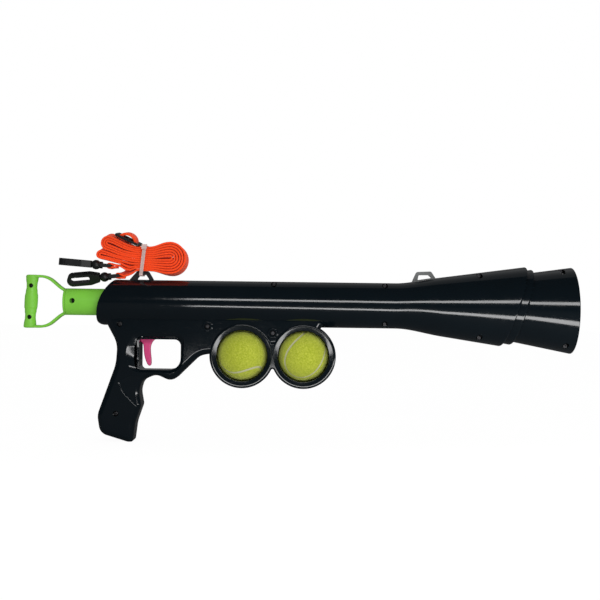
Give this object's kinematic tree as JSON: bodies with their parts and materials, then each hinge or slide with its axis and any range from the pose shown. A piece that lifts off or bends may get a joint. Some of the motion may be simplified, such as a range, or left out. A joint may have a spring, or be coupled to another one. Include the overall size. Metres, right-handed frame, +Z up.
{
  "type": "dog tennis ball launcher",
  "caption": "Spring-driven launcher for a dog's tennis balls: a barrel that flares to an open muzzle, with a pistol grip, trigger, D-shaped pull handle, ball rings and a hanked strap.",
  "frame": {"origin": "middle of the pistol grip, between the two shells, where the hand holds the launcher", "axes": "+X along the barrel towards the muzzle, +Z up, the near side of the picture faces -Y"},
  "size_m": [0.6982, 0.11, 0.2654],
  "materials": {
    "body_plastic": "glossy moulded plastic",
    "handle_plastic": "semi-gloss moulded plastic",
    "trigger_plastic": "semi-gloss moulded plastic",
    "inner_plastic": "matte moulded plastic",
    "loop_plastic": "glossy moulded plastic",
    "hook_plastic": "satin moulded plastic",
    "tie_plastic": "translucent nylon",
    "ball_felt": "needled felt",
    "webbing": "woven webbing",
    "rubber": "matte rubber",
    "steel": "zinc-plated steel"
  },
  "bodies": {
    "body": {"left_shell": "body_plastic", "right_shell": "body_plastic", "body_screws": "steel", "rear_bush": "inner_plastic", "rod_guide": "inner_plastic", "buffer_ring": "rubber", "ball_chamber": "body_plastic", "drive_spring": "steel", "catch_spring": "steel", "trigger_pin": "steel", "rear_sling_loop": "loop_plastic", "front_sling_loop": "loop_plastic", "strap": "webbing", "strap_end": "webbing", "strap_slider": "hook_plastic", "zip_tie": "tie_plastic", "upper_hook_eye": "hook_plastic", "lower_hook_eye": "hook_plastic"},
    "pull": {"pull_tube": "handle_plastic", "handle_left_half": "handle_plastic", "handle_right_half": "handle_plastic", "handle_screws": "steel", "rod_coupler": "handle_plastic", "coupler_pin": "steel", "push_rod": "steel", "striker": "handle_plastic", "striker_pad": "rubber"},
    "trigger": {"trigger": "trigger_plastic"},
    "catch": {"catch_block": "steel"},
    "rear_ball": {"rear_ball": "ball_felt"},
    "front_ball": {"front_ball": "ball_felt"},
    "upper_hook": {"upper_hook": "hook_plastic"},
    "lower_hook": {"lower_hook": "hook_plastic"}
  },
  "joints": [
    {"name": "pull_slide", "type": "slide", "parent": "body", "child": "pull", "axis": [-1, 0, 0], "range_m": [0, 0.11], "stiffness_N_per_m": 350, "springref_m": -0.03, "deforming": ["drive_spring"]},
    {"name": "trigger_pivot", "type": "hinge", "parent": "body", "child": "trigger", "pos_m": [0.044, 0, 0.08], "axis": [0, 1, 0], "range_deg": [0, 10], "stiffness_Nm_per_rad": 0.3, "springref_deg": -17.19},
    {"name": "catch_slide", "type": "slide", "parent": "body", "child": "catch", "axis": [0, 0, -1], "range_m": [0, 0.0038], "deforming": ["catch_spring"]},
    {"name": "rear_ball_out", "type": "slide", "parent": "body", "child": "rear_ball", "axis": [0, -1, 0], "range_m": [0, 0.07]},
    {"name": "front_ball_out", "type": "slide", "parent": "body", "child": "front_ball", "axis": [0, -1, 0], "range_m": [0, 0.07]},
    {"name": "upper_hook_swivel", "type": "hinge", "parent": "body", "child": "upper_hook", "pos_m": [-0.044, 0, 0.1643], "axis": [-0.9971, 0, 0.0767], "continuous": true},
    {"name": "lower_hook_swivel", "type": "hinge", "parent": "body", "child": "lower_hook", "pos_m": [-0.033, 0, 0.1476], "axis": [-0.9954, 0, -0.0958], "continuous": true}
  ],
  "couplings": [
    {"joint": "catch_slide", "follows": "trigger_pivot", "m_per_rad": 0.021}
  ]
}
